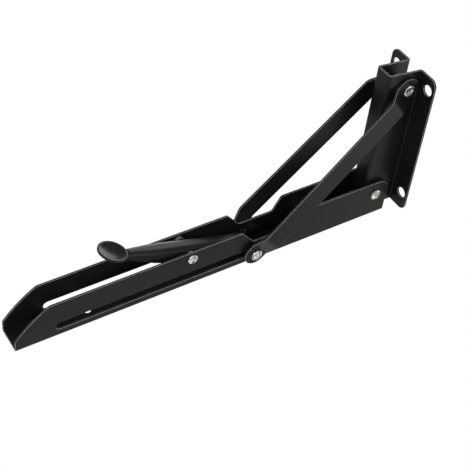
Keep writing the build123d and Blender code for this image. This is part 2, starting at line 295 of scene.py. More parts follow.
def punch(shape, along, across, radius, length=0.0):
    """Draws a round hole in a flat sheet, or a slot where it has a length."""
    segments = 40
    turned = Matrix.Translation((along, across, 0)) @ Matrix.Rotation(math.pi / segments, 4, "Z")
    made = bmesh.ops.create_circle(shape, segments=segments, radius=radius, matrix=turned)
    for vert in made["verts"]:
        vert.co.x += math.copysign(length / 2, vert.co.x - along)


def thicken(shape, sheet, edge, steps=3):
    """Fills the outlines and gives the sheet its thickness about the flat, with rounded edges."""
    inset = shape.verts.layers.float_vector["inset"]
    lean = shape.verts.layers.float_vector["lean"]
    thin = shape.verts.layers.float["painted_edge_highlight"]
    region = faces_in(bmesh.ops.triangle_fill(
        shape, edges=shape.edges[:], use_beauty=True, normal=(0, 0, 1))["geom"])
    for vert in shape.verts:
        ways = []
        for side in (edge for edge in vert.link_edges if edge.is_boundary):
            run = side.verts[1].co - side.verts[0].co
            way = Vector((-run.y, run.x, 0)).normalized()
            if way.dot(side.link_faces[0].calc_center_median() - vert.co) < 0:
                way.negate()
            ways.append((way, run.length))
        (first, first_length), (second, second_length) = ways
        vert[inset] = (first + second) / (1 + first.dot(second))
        vert[lean] = -(first * first_length + second * second_length).normalized()
    rings = [(side, math.pi / 2 * step / steps)
             for side in (-1, 1) for step in (range(-steps, 1) if side < 0 else range(steps + 1))]
    # The rounding's middle rings get the painted edge highlight.
    painted_highlight_mask = {math.pi / 2 * step / steps for step in range(1, steps)}     # the rounding's own rings
    drawn, height = 0.0, 0.0
    moved = shape.verts[:]
    for index, (side, turn) in enumerate(rings):
        if index:
            made = bmesh.ops.extrude_face_region(shape, geom=region)["geom"]
            if index > 1:
                bmesh.ops.delete(shape, geom=region, context="FACES")
            region, moved = faces_in(made), verts_in(made)
        next_drawn = edge * (1 - math.cos(turn))
        next_height = side * (sheet / 2 - edge) + edge * math.sin(turn)
        for vert in moved:
            vert.co += vert[inset] * (next_drawn - drawn) + Vector((0, 0, next_height - height))
        for vert in moved:
            flat = Vector((vert[lean].x, vert[lean].y, 0)).normalized()
            vert[lean] = flat * max(math.cos(turn), 1e-4) + Vector((0, 0, math.sin(turn)))
            # Marks the rings that get the painted edge highlight, a grey tone in place of lit edges.
            vert[thin] = float(abs(turn) in painted_highlight_mask)
        drawn, height = next_drawn, next_height


def crease(shape, stations, axis):
    """Cuts the flat sheet across at each station along an axis, so that it can bend there."""
    for station in stations:
        bmesh.ops.bisect_plane(
            shape, geom=shape.verts[:] + shape.edges[:] + shape.faces[:], dist=1e-8,
            plane_co=axis * station, plane_no=axis,
        )


def face_outwards(shape):
    """Turns every face of a closed shape outwards."""
    bmesh.ops.recalc_face_normals(shape, faces=shape.faces[:])
    if shape.calc_volume(signed=True) < 0:
        bmesh.ops.reverse_faces(shape, faces=shape.faces[:])


def form(shape, place):
    """Moves every vertex of the flat sheet to its formed place, and gives the formed normals."""
    lean = shape.verts.layers.float_vector["lean"]
    step = 0.002 * MM
    normals = []
    for vert in shape.verts:
        flat = tuple(vert.co)
        spans = []
        for axis in range(3):
            ahead, behind = (
                place(*(c + way * step * (axis == i) for i, c in enumerate(flat))) for way in (1, -1))
            spans.append(Vector([(a - b) / (2 * step) for a, b in zip(ahead, behind)]))
        along, across, through = spans
        tilt = vert[lean]
        normal = (across.cross(through) * tilt.x + through.cross(along) * tilt.y
                  + along.cross(across) * tilt.z)
        normals.append((normal * math.copysign(1, along.dot(across.cross(through)))).normalized())
        vert.co = place(*flat)
    face_outwards(shape)
    return normals


def finished(name, shape, normals, finish, source):
    """Turns a formed mesh into a piece on its body, in its finish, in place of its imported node."""
    mesh = bpy.data.meshes.new(name)
    shape.to_mesh(mesh)
    shape.free()
    mesh.materials.append(finish_of(finish))
    mesh.polygons.foreach_set("use_smooth", [True] * len(mesh.polygons))
    if normals:
        mesh.normals_split_custom_set_from_vertices(normals)
    for layer in ("inset", "lean"):
        if layer in mesh.attributes:
            mesh.attributes.remove(mesh.attributes[layer])
    piece = bpy.data.objects.new(name, mesh)
    bpy.context.scene.collection.objects.link(piece)
    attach(piece, BODY_OF[source])
    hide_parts(source)
    return piece


def coated(source, shape, normals):
    """Makes a coated piece of the formed sheet."""
    return finished(f"coated_{source}", shape, normals, "satin_black_coat", source)


def arc(centre, radius, start, end, steps):
    """Points round an arc, angles in degrees."""
    turns = [math.radians(start + (end - start) * step / steps) for step in range(steps + 1)]
    return [(centre[0] + radius * math.cos(t), centre[1] + radius * math.sin(t)) for t in turns]


def turned(profile, centre, axis, closed=False, steps=64):
    """A piece turned about an axis from its profile: radius from the axis, and place along it."""
    shape = flat_blank()
    lean = shape.verts.layers.float_vector["lean"]
    verts = [shape.verts.new((radius, 0, along)) for radius, along in profile]
    ring = verts + verts[:1] if closed else verts
    edges = [shape.edges.new(pair) for pair in zip(ring, ring[1:])]
    for vert in verts:
        out = Vector()
        for edge in vert.link_edges:
            first, second = sorted(edge.verts, key=verts.index)
            if closed and {verts.index(first), verts.index(second)} == {0, len(verts) - 1}:
                first, second = second, first
            run = second.co - first.co
            out += Vector((run.z, 0, -run.x))
        vert[lean] = (Vector((0, 0, math.copysign(1, out.z))) if vert.co.x < 1e-9 else out.normalized())
    bmesh.ops.spin(
        shape, geom=verts + edges, cent=(0, 0, 0), axis=(0, 0, 1), dvec=(0, 0, 0),
        angle=2 * math.pi, steps=steps, use_merge=True,
    )
    bmesh.ops.remove_doubles(shape, verts=shape.verts, dist=0.001 * MM)
    stand = axis.normalized().to_track_quat("Z", "X").to_matrix()
    normals = []
    for vert in shape.verts:
        around = math.atan2(vert.co.y, vert.co.x)
        normals.append(stand @ (Matrix.Rotation(around, 3, "Z") @ vert[lean]))
        vert.co = stand @ vert.co + centre
    face_outwards(shape)
    return shape, normals


def length(name, description, millimetres):
    """A length setting, with its default in millimetres."""
    return bpy.props.FloatProperty(
        name=name, description=description, default=millimetres * MM, unit="LENGTH", precision=5)


def angle(name, description, degrees):
    """An angle setting, with its default in degrees."""
    return bpy.props.FloatProperty(
        name=name, description=description, default=math.radians(degrees), unit="ROTATION")


def tone_of(name, description, colour):
    """A colour setting, as an sRGB hex value."""
    return bpy.props.StringProperty(name=name, description=description, default=colour)


def share_of(name, description, share):
    """A setting from 0 to 1."""
    return bpy.props.FloatProperty(
        name=name, description=description, default=share, min=0, max=1, subtype="FACTOR")


# ---------------------------------------------------------------- settings
class BRACKET_sheet_settings(bpy.types.PropertyGroup):
    thick: length("Sheet", "Thickness of the sheet of the plate, the arm and the struts", 1.5)
    bend: length("Fold", "Inside radius of the folds", 0.5)
    edge: length("Edge rounding", "Radius of the coated sheet's edges", 0.38)


class BRACKET_plate_settings(bpy.types.PropertyGroup):
    middle: length("Middle width", "Width of the folded-out middle", 14.6)
    overhang: length("Overhang", "How far the front of the middle reaches below the flanges", 3.0)
    corner: length("Flange corner", "Corner radius of the flanges", 6.0)
    hole_rise: length("Hole rise", "Wall screw holes, centre to centre, up the wall", 95.0)
    hole_span: length("Hole span", "Wall screw holes, centre to centre, across the wall", 35.0)
    hole: length("Hole diameter", "Wall screw holes", 8.0)
    strut_out: length("Strut pivot", "Strut pivot from the wall", 11.8)
    strut_drop: length("Strut pivot drop", "Strut pivot below the arm pivot", 92.6)
    pivot: length("Pivot holes", "Diameter of the arm pivot and strut pivot holes", 5.0)


class BRACKET_arm_settings(bpy.types.PropertyGroup):
    land: length("Nose land", "Height of the flat end face at the free end", 9.5)
    reach: length("Nose reach", "The sloping nose, measured along the arm", 25.0)
    bow: length("Nose bow", "Radius of the slightly bowed slope of the nose", 90.0)
    nose_corner: length("Nose corner", "Rounding at both ends of that slope", 3.0)
    heel: length("Heel", "Round lower corner at the wall end", 9.0)
    notch_drop: length("Notch drop", "Floor of the notch below the shelf face", 19.6)
    notch_floor: length("Notch floor", "Width of the notch's floor", 28.6)
    notch_in: length("Notch inner side", "Sloped side of the notch nearer the wall", 6.8)
    notch_out: length("Notch outer side", "Sloped side of the notch nearer the free end", 10.2)
    notch_corner: length("Notch corner", "Rounding of the notch", 2.5)
    slot_drop: length("Slot drop", "Slot's centreline below the shelf face", 9.6)
    slot_open: length("Open pin", "Sliding pin from the arm pivot, bracket open", 106.2)
    slot_before: length("Slot before", "Slot past the open pin, towards the wall", 6.2)
    slot_inset: length("Slot inset", "Slot's outer end from the free end", 29.0)
    slot_width: length("Slot width", "Width of the slot", 6.7)
    pivot_hole: length("Pivot hole", "Diameter of the holes for the arm pivot", 5.1)
    lever_hole: length("Lever hole", "Diameter of the holes for the lever's pivot", 4.0)
    shelf_hole: length("Shelf holes", "Diameter of the shelf screw holes", 5.0)
    shelf_holes: bpy.props.FloatVectorProperty(
        name="Shelf hole places", description="Shelf screw holes from the arm pivot", size=4,
        default=(45.3 * MM, 88.4 * MM, 231.9 * MM, 258.8 * MM), unit="LENGTH", precision=5)


class BRACKET_strut_settings(bpy.types.PropertyGroup):
    width: length("Width", "Width of each strut", 17.6)
    flat: length("Flat", "Flat round each hole, measured towards the middle", 4.9)
    run: length("Joggle run", "Length of each joggle", 9.0)
    radius: length("Joggle radius", "Inside radius of the joggle folds", 7.5)
    wall_seat: length("Wall seat", "Inner face at the wall end, from the centre plane", 7.95)
    arm_seat: length("Arm seat", "Inner face at the arm end, from the centre plane", 12.7)
    wall_bow: length("Wall bow", "Outer face past the wall joggle", 15.3)
    arm_bow: length("Arm bow", "Outer face past the arm joggle", 18.5)
    wall_hole: length("Wall hole", "Hole at the wall end", 5.1)
    arm_hole: length("Arm hole", "Hole at the arm end", 5.0)


class BRACKET_lever_settings(bpy.types.PropertyGroup):
    thick: length("Sheet", "Thickness of the lever's sheet", 1.5)
    edge: length("Edge rounding", "Radius of the lever's edges", 0.25)
    width: length("Width", "Width of the trough", 14.0)
    tilt: angle("Tilt", "Slope of the back, down towards the thumb pad", 16.0)
    gap: length("Back gap", "Lever pivot to the outer face of the back", 5.4)
    round: length("Back rounding", "Rounding of the back, outside", 5.2)
    neck: length("Neck", "End of the trough, from the arm pivot", 200.8)
    neck_width: length("Neck width", "Width of the trough at the neck", 9.6)
    neck_round: length("Neck rounding", "Rounding of the back at the neck, outside", 4.2)
    taper: length("Taper", "Length over which the trough narrows", 18.0)
    neck_wall: length("Neck wall", "Height of the trough's walls at the neck", 4.6)
    flank: angle("Flank tilt", "Slope of the free edges near the pad", 25.6)
    tongue: length("Tongue", "Drawn-in end that runs into the pad", 10.8)
    step: length("Step", "How far the tongue is drawn in all round", 0.5)
    latch: length("Latch gap", "Between the sliding pin and the lever's nose", 0.85)
    path_gap: length("Path gap", "Between the sliding pin's path and the free edges", 0.5)
    pin: length("Pivot hole", "Diameter of the hole for the lever's pivot", 4.1)
    leg_hole: length("Leg hole", "Diameter of the hole for the spring's leg", 1.6)


class BRACKET_pad_settings(bpy.types.PropertyGroup):
    across: length("Diameter", "Diameter of the thumb pad", 21.0)
    out: length("Place", "Pad's centre from the arm pivot", 213.0)
    drop: length("Drop", "Centre of the pad's rim below the shelf face", 49.7)
    tilt: angle("Tilt", "Tilt of the pad", 18.0)
    dish: length("Dish", "Depth of the dish, which is open to the thumb", 2.6)
    lip: length("Lip", "Flat rim round the dish", 1.6)


class BRACKET_rivet_settings(bpy.types.PropertyGroup):
    head: length("Head", "Diameter of the rivet heads", 8.6)
    lever_head: length("Lever head", "Diameter of the lever rivet's heads", 7.4)
    low: length("Low head", "Height of the heads that the struts pass over", 1.3)
    high: length("High head", "Height of the heads outside the struts", 1.8)
    rim: length("Rim", "Rounding of the heads' rims", 0.35)
    hollow: length("Hollow", "Depth of the hollow that the rivet set leaves", 0.35)
    shank: length("Shank", "Diameter of the arm pivot and the strut pivot", 5.0)
    slide: length("Sliding pin", "Diameter of the sliding pin", 6.5)
    lever_shank: length("Lever shank", "Diameter of the lever's pivot", 4.0)


class BRACKET_washer_settings(bpy.types.PropertyGroup):
    edge: length("Washer edge", "Radius of the washers' edges", 0.1)


class BRACKET_spring_settings(bpy.types.PropertyGroup):
    wire: length("Wire", "Diameter of the wire", 1.0)
    mean: length("Coil radius", "Mean radius of the coil", 3.2)
    pitch: length("Pitch", "Pitch of the coil", 1.4)
    leg: length("Leg", "Leg that lies in the lever's trough", 13.0)
    rise: length("Rise", "Leg that rises to the hole in the arm", 5.9)
    knee: length("Knee", "Radius of the bend between the rising leg and its end", 1.0)
    turns: bpy.props.IntProperty(name="Turns", description="Whole turns of the coil", default=1)


class BRACKET_coat_settings(bpy.types.PropertyGroup):
    dark: tone_of("Dark tone", "Darker cloud of the coat", "#0a0a0a")
    light: tone_of("Light tone", "Lighter cloud of the coat", "#0f0f10")
    # Tone of the painted edge highlight along the rounded edges.
    thin: tone_of("Painted edge highlight", "Tone along sharp edges", "#828283")
    roughness: share_of("Roughness", "Roughness of the coat", 0.36)
    gloss: share_of("Gloss", "Specular level of the coat", 0.09)


class BRACKET_metal_settings(bpy.types.PropertyGroup):
    # Darker end of the rivets' mottle: plating tone and painted dark reflection.
    rivet_dark: tone_of("Rivet dark", "Darker tone of the plating", "#77766f")
    rivet_light: tone_of("Rivet light", "Lighter tone of the plating", "#c9c8be")
    rivet_roughness: share_of("Rivet roughness", "Roughness of the plating", 0.3)
    zinc_dark: tone_of("Zinc dark", "Darker tone of the washers", "#6e6f70")
    zinc_light: tone_of("Zinc light", "Lighter tone of the washers", "#8a8b8b")
    pin_dark: tone_of("Pin dark", "Darker tone of the sliding pin", "#171718")
    pin_light: tone_of("Pin light", "Lighter tone of the sliding pin", "#242425")
    wire_dark: tone_of("Wire dark", "Darker tone of the wire", "#77777a")
    wire_light: tone_of("Wire light", "Lighter tone of the wire", "#9c9c9e")


class BRACKET_stage_settings(bpy.types.PropertyGroup):
    floor_drop: length("Floor drop", "Floor below the origin", 750.0)
    floor_size: length("Floor size", "Side of the floor", 8000.0)
    floor_lift: share_of("Floor lift", "Light the camera sees in the floor itself", 0.45)
    floor_colour: tone_of("Floor", "Colour of the floor", "#f4f4f4")
    target: bpy.props.FloatVectorProperty(
        name="Target", description="Point the camera looks at", default=(0.16076, -0.02431, 0.02306),
        unit="LENGTH")
    azimuth: angle("Azimuth", "Camera round the bracket from the front", 36.46)
    elevation: angle("Elevation", "Camera above the horizon", -45.0)
    roll: angle("Roll", "Turn of the camera about its view", -173.22)
    distance: length("Distance", "Camera to target", 764.7)
    lens: bpy.props.FloatProperty(name="Lens", description="Focal length in mm", default=87.58)
    shift: bpy.props.FloatVectorProperty(
        name="Shift", description="Camera shift as a share of the frame", size=2,
        default=(0.0161, 0.0189))


SETTINGS = {
    "bracket_" + group.__name__.split("_")[1]: group
    for group in (
        BRACKET_sheet_settings, BRACKET_plate_settings, BRACKET_arm_settings, BRACKET_strut_settings,
        BRACKET_lever_settings, BRACKET_pad_settings, BRACKET_rivet_settings, BRACKET_washer_settings,
        BRACKET_spring_settings, BRACKET_coat_settings, BRACKET_metal_settings, BRACKET_stage_settings,
    )
}


# ---------------------------------------------------------------- operators
class BRACKET_OT_wall_plate(bpy.types.Operator):
    """Cuts, folds and coats the wall plate"""

    bl_idname = "bracket.wall_plate"
    bl_label = "Wall plate"

    def execute(self, context):
        sheet, size = context.scene.bracket_sheet, context.scene.bracket_plate
        low, high = box_of("wall_plate")
        bottom = low.z + size.overhang
        middle, front = size.middle / 2 - sheet.thick / 2, high.x - sheet.thick / 2
        fold = sheet.bend + sheet.thick / 2
        runs, total = folded_line([
            (sheet.thick / 2, high.y), (sheet.thick / 2, middle), (front, middle),
            (front, -middle), (sheet.thick / 2, -middle), (sheet.thick / 2, low.y),
        ], fold)
        face = middle - fold                # half of the flat front
        side = face + math.pi / 2 * fold    # where a side wall starts, from the middle of the blank
        foot = side + front - fold - (sheet.thick + sheet.bend)

        def across(x):
            return side + front - fold - x

        drop = size.overhang / (high.x - sheet.thick - sheet.bend)
        lower = [
            (bottom, total / 2, size.corner),
            (bottom, foot, 0),
            (bottom - drop * (front - fold - sheet.thick - sheet.bend), side, 0),
            (low.z, face, 0),
        ]
        upper = [(high.z, total / 2, size.corner)]
        half = upper + lower
        shape = flat_blank()
        cut_outline(shape, half + [(z, -a, corner) for z, a, corner in reversed(half)])
        strut_z = PIVOT.z - size.strut_drop
        for way in (-1, 1):
            for z in (-size.hole_rise / 2, size.hole_rise / 2):
                punch(shape, z, way * (total / 2 - high.y + size.hole_span / 2), size.hole / 2)
            punch(shape, PIVOT.z, way * across(PIVOT.x), size.pivot / 2)
            punch(shape, strut_z, way * across(size.strut_out), size.pivot / 2)
        thicken(shape, sheet.thick, sheet.edge)
        crease(shape, [a - total / 2 for a in fold_stations(runs)], Vector((0, 1, 0)))

        def place(z, a, off):
            x, y = on_line(runs, a + total / 2, off)
            return x, y, z

        normals = form(shape, place)
        coated("wall_plate", shape, normals)
        return {"FINISHED"}


class BRACKET_OT_shelf_arm(bpy.types.Operator):
    """Cuts, folds and coats the channel that carries the shelf"""

    bl_idname = "bracket.shelf_arm"
    bl_label = "Shelf arm"

    def execute(self, context):
        sheet, size = context.scene.bracket_sheet, context.scene.bracket_arm
        low, high = box_of("shelf_arm")
        wall, top = high.y - sheet.thick / 2, high.z - sheet.thick / 2
        runs, total = folded_line(
            [(-wall, low.z), (-wall, top), (wall, top), (wall, low.z)], sheet.bend + sheet.thick / 2)

        def across(z):
            return total / 2 - (z - low.z)

        notch_mid = PIVOT.x + context.scene.bracket_plate.strut_drop
        notch = (notch_mid - size.notch_floor / 2, notch_mid + size.notch_floor / 2)
        lip, chin = (high.x, high.z - size.land), (high.x - size.reach, low.z)
        slope = Vector(chin) - Vector(lip)
        swell = slope.length ** 2 / (8 * size.bow)
        outward = Vector((-slope.y, slope.x)).normalized()
        half = [(*lip, size.nose_corner)]
        for share in (0.15, 0.3, 0.45, 0.6, 0.75, 0.88):
            point = Vector(lip) + slope * share + outward * swell * 4 * share * (1 - share)
            half.append((point.x, point.y, 0))
        half += [
            (*chin, size.nose_corner),
            (notch[1] + size.notch_out, low.z, size.notch_corner),
            (notch[1], high.z - size.notch_drop, size.notch_corner),
            (notch[0], high.z - size.notch_drop, size.notch_corner),
            (notch[0] - size.notch_in, low.z, size.notch_corner),
            (low.x, low.z, size.heel),
        ]
        half = [(x, across(z), corner) for x, z, corner in half]
        shape = flat_blank()
        cut_outline(shape, half + [(x, -a, corner) for x, a, corner in reversed(half)])
        slot = (PIVOT.x + size.slot_open - size.slot_before, high.x - size.slot_inset)
        for way in (-1, 1):
            punch(shape, sum(slot) / 2, way * across(high.z - size.slot_drop), size.slot_width / 2,
                  slot[1] - slot[0] - size.slot_width)
            punch(shape, PIVOT.x, way * across(PIVOT.z), size.pivot_hole / 2)
            punch(shape, LEVER_PIVOT.x, way * across(LEVER_PIVOT.z), size.lever_hole / 2)
        for out in size.shelf_holes:
            punch(shape, PIVOT.x + out, 0, size.shelf_hole / 2)
        leg, leg_radius = anchor_hole(context.scene)
        punch(shape, leg.x, across(leg.z), leg_radius)
        thicken(shape, sheet.thick, sheet.edge)
        crease(shape, [a - total / 2 for a in fold_stations(runs)], Vector((0, 1, 0)))

        def place(x, a, off):
            y, z = on_line(runs, a + total / 2, off)
            return x, y, z

        normals = form(shape, place)
        coated("shelf_arm", shape, normals)
        return {"FINISHED"}


class BRACKET_OT_struts(bpy.types.Operator):
    """Cuts, joggles and coats the two struts"""

    bl_idname = "bracket.struts"
    bl_label = "Struts"

    def execute(self, context):
        sheet, size = context.scene.bracket_sheet, context.scene.bracket_strut
        reach = SLIDE - STRUT_PIVOT
        span, way = reach.length, reach.normalized()
        level = Vector((-way.z, 0, way.x))
        half = sheet.thick / 2
        runs, total = folded_line([
            (-size.width, size.wall_seat + half),
            (size.flat, size.wall_seat + half),
            (size.flat + size.run, size.wall_bow - half),
            (span - size.flat - size.run, size.arm_bow - half),
            (span - size.flat, size.arm_seat + half),
            (span + size.width, size.arm_seat + half),
        ], size.radius + half)
        flat_span = total - 2 * size.width
        for source, side in (("strut_left", -1), ("strut_right", 1)):
            shape = flat_blank()
            punch(shape, flat_span / 2, 0, size.width / 2, flat_span)
            punch(shape, 0, 0, size.wall_hole / 2)
            punch(shape, flat_span, 0, size.arm_hole / 2)
            thicken(shape, sheet.thick, sheet.edge)
            crease(shape, [u - size.width for u in fold_stations(runs, 8)], Vector((1, 0, 0)))

            def place(u, across, off, side=side):
                along, out = on_line(runs, u + size.width, off)
                return (
                    STRUT_PIVOT.x + way.x * along + level.x * across,
                    side * out,
                    STRUT_PIVOT.z + way.z * along + level.z * across,
                )

            normals = form(shape, place)
            coated(source, shape, normals)
        return {"FINISHED"}


def anchor_hole(scene):
    """Centre and radius of the hole for the spring's fixed leg, with room for its small travel."""
    spring = scene.bracket_spring
    press = next(j for j in frame["joints"] if j["name"] == "lever_press")
    travel = math.radians(press["range_deg"][1] - press["range_deg"][0])
    rest = Vector((-spring.mean, spring.rise))
    pressed = Vector((
        rest.x * math.cos(travel) - rest.y * math.sin(travel),
        rest.x * math.sin(travel) + rest.y * math.cos(travel),
    ))
    middle = (rest + pressed) / 2
    centre = LEVER_PIVOT + Vector((middle.x, 0, middle.y))
    clearance = 0.3 * MM
    return centre, spring.wire / 2 + (pressed - rest).length / 2 + clearance


def thumb_pad(pad, thick):
    """The round pad at the lever's end: a dish open to the thumb, with a domed back."""
    outer, dish_radius = pad.across / 2, pad.across / 2 - pad.lip
    ball = (dish_radius ** 2 + pad.dish ** 2) / (2 * pad.dish)
    back_ball = ball + thick
    back_radius = math.sqrt(back_ball ** 2 - (ball - pad.dish + thick) ** 2)
    opening = math.degrees(math.asin(dish_radius / ball))
    back_opening = math.degrees(math.asin(back_radius / back_ball))
    dish = arc((0, pad.dish - ball), ball, 90, 90 - opening, 10)
    back = arc((0, pad.dish + thick - back_ball), back_ball, 90 - back_opening, 90, 10)
    lip, soft = 0.3 * MM, 0.5 * MM     # rounding of the rim, and width of the dish's soft edge
    edge = dish_radius + soft
    profile = (
        dish[:-1]
        + [(dish_radius - soft / 2, dish[-1][1] + 0.09 * MM), (edge - 0.1 * MM, 0.01 * MM), (edge, 0)]
        + arc((outer - lip, lip), lip, -90, 0, 4)
        + arc((outer - lip, thick - lip), lip, 0, 90, 4)
        + [(back_radius + soft, thick)] + back[1:]
    )
    axis = Vector((math.sin(pad.tilt), 0, math.cos(pad.tilt)))
    centre = Vector((PIVOT.x + pad.out, 0, SHELF_Z - pad.drop))
    return turned(profile, centre, axis, steps=72)


class BRACKET_OT_release_lever(bpy.types.Operator):
    """Forms the release lever: its round-backed trough, its drawn-in neck and its thumb pad"""

    bl_idname = "bracket.release_lever"
    bl_label = "Release lever"

    def execute(self, context):
        size, pad = context.scene.bracket_lever, context.scene.bracket_pad
        slide = context.scene.bracket_rivet.slide
        ahead = Vector((math.cos(size.tilt), 0, -math.sin(size.tilt)))
        off_back = Vector((math.sin(size.tilt), 0, math.cos(size.tilt)))
        # The neck's point on the outer face of the back.
        neck_x = PIVOT.x + size.neck
        fall = size.gap / math.cos(size.tilt) + (neck_x - LEVER_PIVOT.x) * math.tan(size.tilt)
        neck = Vector((neck_x, 0, LEVER_PIVOT.z - fall))
        half_thick = size.thick / 2
        # On the flat sheet the back counts as 1 mm each side, then come the round and the wall.
        web, rounded = MM, math.pi / 2 * (size.round - half_thick)

        def section(along):
            """Half width of the middle line, its rounding and its distance off the back."""
            share = min(max(1 + along / size.taper * math.cos(size.tilt), 0), 1)
            width = size.width + (size.neck_width - size.width) * share
            rounding = size.round + (size.neck_round - size.round) * share
            blend = min(max((along + 0.1 * MM) / (0.9 * MM), 0), 1)
            drawn = size.step * blend * blend * (3 - 2 * blend) + half_thick
            return width / 2 - drawn, rounding - drawn, drawn

        def flat_of(x, z):
            """Place on the flat sheet of a point of a side wall."""
            offset = Vector((x, 0, z)) - neck
            along, rise = offset.dot(ahead), offset.dot(off_back)
            _, rounding, drawn = section(along)
            return along, web + rounded + max(rise - drawn - rounding, 0.02 * MM)

        def place(along, across, off):
            half, rounding, drawn = section(along)
            way, across = math.copysign(1, across), abs(across)
            if across <= web:
                y, rise, lean_y, lean_rise = (half - rounding) * across / web, drawn, 0.0, -1.0
            elif across <= web + rounded:
                turn = (across - web) / rounded * math.pi / 2
                y = half - rounding + rounding * math.sin(turn)
                rise = drawn + rounding * (1 - math.cos(turn))
                lean_y, lean_rise = math.sin(turn), -math.cos(turn)
            else:
                y, rise, lean_y, lean_rise = half, drawn + rounding + across - web - rounded, 1.0, 0.0
            y, rise = y + off * lean_y, rise + off * lean_rise
            return (
                neck.x + ahead.x * along + off_back.x * rise,
                way * y,
                neck.z + ahead.z * along + off_back.z * rise,
            )

        nose_x = SLIDE.x + slide / 2 + size.latch
        path_low = SLIDE.z - slide / 2 - size.path_gap
        flank = (path_low - neck.z - size.neck_wall) / math.tan(size.flank)
        tongue_end = size.tongue * 0.97     # stops inside the pad's rim
        half = []
        for across in [web / 2] + [web + rounded * cut / 5 for cut in range(5)]:
            along = -(neck.x - nose_x) / math.cos(size.tilt)
            for _ in range(4):     # settles on the upright plane of the nose
                along += (nose_x - place(along, across, 0)[0]) / math.cos(size.tilt)
            half.append((along, across, 0))
        half += [
            (*flat_of(nose_x, path_low), 0.6 * MM),
            (*flat_of(neck.x - flank, path_low), 2.0 * MM),
            (*flat_of(neck.x, neck.z + size.neck_wall), 1.2 * MM),
            (tongue_end, web + rounded + 0.1 * MM, 0),
            (tongue_end, web, 0),
        ]
        shape = flat_blank()
        cut_outline(shape, half + [(s, -a, corner) for s, a, corner in reversed(half)])
        for way in (-1, 1):
            along, across = flat_of(LEVER_PIVOT.x, LEVER_PIVOT.z)
            punch(shape, along, way * across, size.pin / 2)
        spring = context.scene.bracket_spring
        along, across = flat_of(LEVER_PIVOT.x - spring.mean, LEVER_PIVOT.z + spring.rise)
        punch(shape, along, across, size.leg_hole / 2)
        thicken(shape, size.thick, size.edge)
        bends = [way * (web + rounded * cut / 10) for way in (-1, 1) for cut in range(11)]
        crease(shape, bends, Vector((0, 1, 0)))
        stations = [-size.taper / math.cos(size.tilt) * cut / 6 for cut in range(1, 7)]
        stations += [(-0.1 + 0.9 * cut / 6) * MM for cut in range(7)]
        crease(shape, stations, Vector((1, 0, 0)))
        normals = form(shape, place)

        pad_shape, pad_normals = thumb_pad(pad, size.thick)
        mesh = bpy.data.meshes.new("pad")
        pad_shape.to_mesh(mesh)
        pad_shape.free()
        shape.from_mesh(mesh)
        bpy.data.meshes.remove(mesh)
        coated("release_lever", shape, normals + pad_normals)
        return {"FINISHED"}


def on_middle(low, high):
    """Middle of a box, brought to the centre plane."""
    return Vector(((low.x + high.x) / 2, 0, (low.z + high.z) / 2))


def rivet_head(radius, face, height, rivet):
    """Profile of a flat head from its underside to its middle, with the hollow of the rivet set."""
    top = face + height
    rim, hollow = rivet.rim, rivet.hollow
    bowl = radius * 0.6
    return (
        [(radius - 0.08 * MM, face), (radius, face + 0.08 * MM)]
        + arc((radius - rim, top - rim), rim, 0, 90, 5)
        + [(bowl + 0.45 * MM, top), (bowl + 0.2 * MM, top - 0.03 * MM)]
        + [(bowl - 0.1 * MM, top - 0.3 * hollow), (bowl - 0.45 * MM, top - 0.75 * hollow)]
        + [(bowl - 0.9 * MM, top - hollow), (0, top - hollow)]
    )


class BRACKET_OT_rivets(bpy.types.Operator):
    """Turns the rivets, the sliding pin and its two heads, and plates them"""

    bl_idname = "bracket.rivets"
    bl_label = "Rivets"

    def execute(self, context):
        rivet = context.scene.bracket_rivet
        for source, shank, head, height in (
            ("pivot_rivet", rivet.shank, rivet.head, rivet.low),
            ("strut_rivet", rivet.shank, rivet.head, rivet.high),
            ("lever_rivet", rivet.lever_shank, rivet.lever_head, rivet.low),
        ):
            low, high = box_of(source)
            face = high.y - height
            up = [(shank / 2, face)] + rivet_head(head / 2, face, height, rivet)
            profile = [(radius, -along) for radius, along in reversed(up)] + up
            shape, normals = turned(profile, on_middle(low, high), Vector((0, 1, 0)))
            finished(f"plated_{source}", shape, normals, "nickel_plated_rivet", source)
        for source, side in (("slide_head_left", -1), ("slide_head_right", 1)):
            low, high = box_of(source)
            near, far = sorted((abs(low.y), abs(high.y)))
            face = far - rivet.high
            profile = [(0, near), (context.scene.bracket_strut.arm_hole / 2, near),
                       (context.scene.bracket_strut.arm_hole / 2, face)]
            profile += rivet_head(rivet.head / 2, face, rivet.high, rivet)
            shape, normals = turned(profile, on_middle(low, high), Vector((0, side, 0)))
            finished(f"plated_{source}", shape, normals, "nickel_plated_rivet", source)
        low, high = box_of("slide_pin")
        edge = 0.2 * MM
        up = [(rivet.slide / 2, 0)]
        up += arc((rivet.slide / 2 - edge, high.y - edge), edge, 0, 90, 3) + [(0, high.y)]
        profile = [(radius, -along) for radius, along in reversed(up[1:])] + up
        shape, normals = turned(profile, (low + high) / 2, Vector((0, 1, 0)))
        finished("blackened_slide_pin", shape, normals, "blackened_pin", "slide_pin")
        return {"FINISHED"}


class BRACKET_OT_washers(bpy.types.Operator):
    """Turns and plates the washers, the spacer tubes and the bush"""

    bl_idname = "bracket.washers"
    bl_label = "Washers and tubes"

    def execute(self, context):
        rivet, edge = context.scene.bracket_rivet, context.scene.bracket_washer.edge
        for source in ZINC_NODES:
            low, high = box_of(source)
            bores = {"slide": rivet.slide, "lever": rivet.lever_shank}
            bore = bores.get(source.split("_")[0], rivet.shank)
            inner, outer, half = bore / 2, (high.z - low.z) / 2, (high.y - low.y) / 2
            round_off = min(edge, half / 3)
            near, far, tall = inner + round_off, outer - round_off, half - round_off
            profile = []
            for radius, along, start in (
                (near, -tall, 180), (far, -tall, -90), (far, tall, 0), (near, tall, 90),
            ):
                profile += arc((radius, along), round_off, start, start + 90, 2)
            shape, normals = turned(profile, (low + high) / 2, Vector((0, 1, 0)), closed=True)
            finished(f"plated_{source}", shape, normals, "dull_zinc_plate", source)
        return {"FINISHED"}


